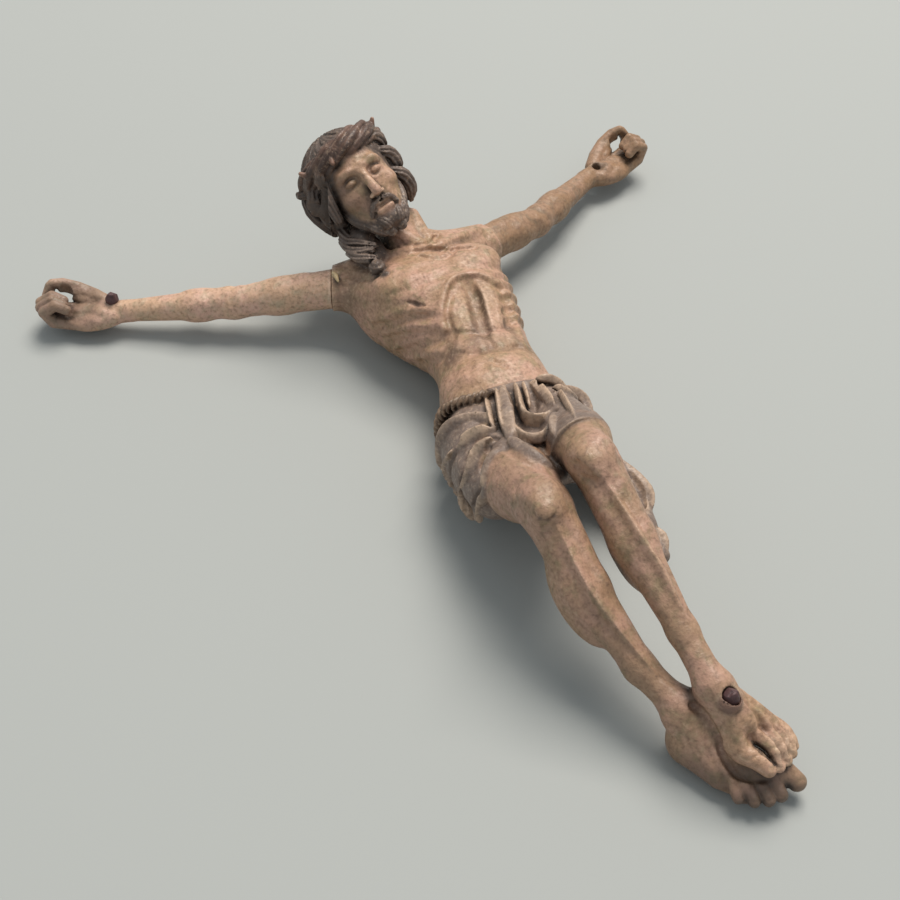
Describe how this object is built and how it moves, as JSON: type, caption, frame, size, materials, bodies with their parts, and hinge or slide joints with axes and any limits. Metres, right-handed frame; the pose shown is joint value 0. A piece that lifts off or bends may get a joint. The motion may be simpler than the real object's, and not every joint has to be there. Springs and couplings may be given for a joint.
{
  "type": "crucifix corpus figure",
  "caption": "Carved wooden corpus figure lying on its back, arms spread and glued on at the shoulders, feet crossed, with loincloth and crown of thorns.",
  "frame": {"origin": "under the middle of the whole figure, on the surface that it lies on", "axes": "+Y towards the head, +X towards the figure's left hand, +Z out of its chest, away from the surface"},
  "size_m": [0.2732, 0.3124, 0.0762],
  "materials": {
    "body_wood": "stained and waxed limewood, worn",
    "arm_wood": "stained and waxed limewood, worn",
    "nail_wood": "dark stained pegs"
  },
  "bodies": {
    "root": {"body": "body_wood", "right_arm": "arm_wood", "left_arm": "arm_wood", "right_wrist_nail": "nail_wood", "feet_nail": "nail_wood"}
  },
  "joints": []
}
